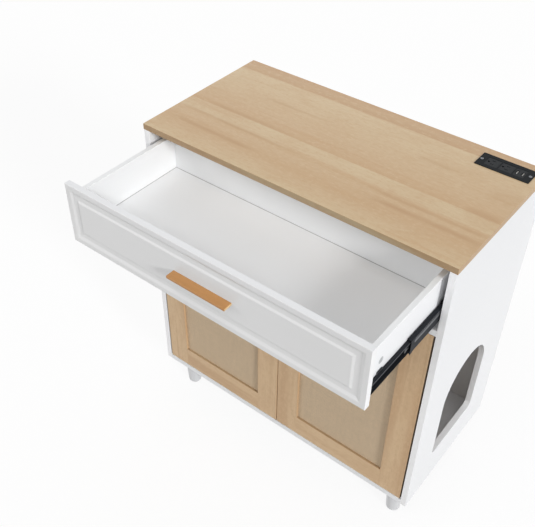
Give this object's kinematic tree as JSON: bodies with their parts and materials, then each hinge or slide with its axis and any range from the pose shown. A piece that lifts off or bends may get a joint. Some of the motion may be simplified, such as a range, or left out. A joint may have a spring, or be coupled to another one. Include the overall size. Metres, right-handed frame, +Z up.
{
  "type": "cat litter box cabinet",
  "caption": "Cabinet on tapered legs with a full-width drawer over a litter compartment with woven-panel doors, an arched cat entrance in its side and a power strip in its top.",
  "frame": {"origin": "on the floor, at the middle of the cabinet's footprint, legs and doors and closed drawer alike", "axes": "+X to the cabinet's right as seen from the front, -Y out of the front, +Z up"},
  "size_m": [0.8, 0.6754, 0.8894],
  "materials": {
    "top_veneer": "satin pale oak-look face, grain along the width",
    "white_lacquer": "smooth satin white lacquer on board",
    "white_board": "satin white foil on board",
    "leg_lacquer": "turned wood, satin white lacquer",
    "glide_pad": "matt dark pad",
    "zinc_steel": "bright zinc",
    "strip_black": "fine-grained black plastic",
    "outlet_black": "smooth black plastic",
    "black_steel": "black zinc-plated pressed steel",
    "black_plastic": "black nylon",
    "white_plastic": "white nylon",
    "magnet": "dark sintered block",
    "frame_wood": "satin pale oak-look face, grain along each member",
    "woven_panel": "tight plain weave of thin natural strands on a stiff sheet",
    "pull_wood": "oiled warm wood"
  },
  "bodies": {
    "cabinet": {"top_panel": "top_veneer", "side_panel_left": "white_lacquer", "side_panel_right": "white_lacquer", "bottom_panel": "white_lacquer", "drawer_shelf": "white_lacquer", "back_panel": "white_board", "leg_front_left": "leg_lacquer", "leg_front_right": "leg_lacquer", "leg_rear_left": "leg_lacquer", "leg_rear_right": "leg_lacquer", "leg_glides": "glide_pad", "leg_hanger_bolts": "zinc_steel", "leg_insert_nuts": "zinc_steel", "carcass_cam_locks": "zinc_steel", "carcass_cam_bolts": "zinc_steel", "slide_cabinet_screws": "zinc_steel", "power_strip_screws": "zinc_steel", "power_strip_housing": "strip_black", "power_strip_cord_gland": "strip_black", "power_strip_outlets": "outlet_black", "power_strip_usb_ports": "outlet_black", "slide_outer_member_left": "black_steel", "slide_outer_member_right": "black_steel", "door_catch_housing": "white_plastic", "door_pivot_bushes": "white_plastic", "door_catch_magnets": "magnet"},
    "drawer": {"drawer_front": "white_lacquer", "drawer_side_left": "white_board", "drawer_side_right": "white_board", "drawer_back": "white_board", "drawer_bottom": "white_board", "drawer_pull": "pull_wood", "drawer_pull_screws": "zinc_steel", "drawer_cam_locks": "zinc_steel", "drawer_cam_bolts": "zinc_steel", "slide_inner_member_left": "black_steel", "slide_inner_member_right": "black_steel", "slide_drawer_screws": "zinc_steel"},
    "middle_slide_left": {"slide_middle_member_left": "black_steel"},
    "middle_slide_right": {"slide_middle_member_right": "black_steel"},
    "left_door": {"door_left_hinge_stile": "frame_wood", "door_left_meeting_stile": "frame_wood", "door_left_top_rail": "frame_wood", "door_left_bottom_rail": "frame_wood", "door_left_woven_panel": "woven_panel", "door_left_pull": "pull_wood", "door_left_pull_screws": "zinc_steel", "door_left_strike_plate": "zinc_steel", "door_left_pivot_pins": "zinc_steel"},
    "right_door": {"door_right_hinge_stile": "frame_wood", "door_right_meeting_stile": "frame_wood", "door_right_top_rail": "frame_wood", "door_right_bottom_rail": "frame_wood", "door_right_woven_panel": "woven_panel", "door_right_pull": "pull_wood", "door_right_pull_screws": "zinc_steel", "door_right_strike_plate": "zinc_steel", "door_right_pivot_pins": "zinc_steel"},
    "lever_left": {"release_lever_left": "black_plastic"},
    "lever_right": {"release_lever_right": "black_plastic"}
  },
  "joints": [
    {"name": "drawer_slide", "type": "slide", "parent": "cabinet", "child": "drawer", "axis": [0, -1, 0], "range_m": [-0.254, 0.046]},
    {"name": "middle_slide_left_travel", "type": "slide", "parent": "cabinet", "child": "middle_slide_left", "axis": [0, -1, 0], "range_m": [-0.127, 0.023]},
    {"name": "middle_slide_right_travel", "type": "slide", "parent": "cabinet", "child": "middle_slide_right", "axis": [0, -1, 0], "range_m": [-0.127, 0.023]},
    {"name": "left_door_swing", "type": "hinge", "parent": "cabinet", "child": "left_door", "pos_m": [-0.371, -0.1925, 0.128], "axis": [0, 0, -1], "range_deg": [0, 110]},
    {"name": "right_door_swing", "type": "hinge", "parent": "cabinet", "child": "right_door", "pos_m": [0.371, -0.1925, 0.128], "axis": [0, 0, 1], "range_deg": [0, 110]},
    {"name": "lever_left_tilt", "type": "hinge", "parent": "drawer", "child": "lever_left", "pos_m": [-0.376, -0.277, 0.756], "axis": [1, 0, 0], "range_deg": [-5, 5]},
    {"name": "lever_right_tilt", "type": "hinge", "parent": "drawer", "child": "lever_right", "pos_m": [0.376, -0.277, 0.756], "axis": [1, 0, 0], "range_deg": [-5, 5]}
  ],
  "couplings": [
    {"joint": "middle_slide_left_travel", "follows": "drawer_slide", "ratio": 0.5},
    {"joint": "middle_slide_right_travel", "follows": "drawer_slide", "ratio": 0.5}
  ]
}
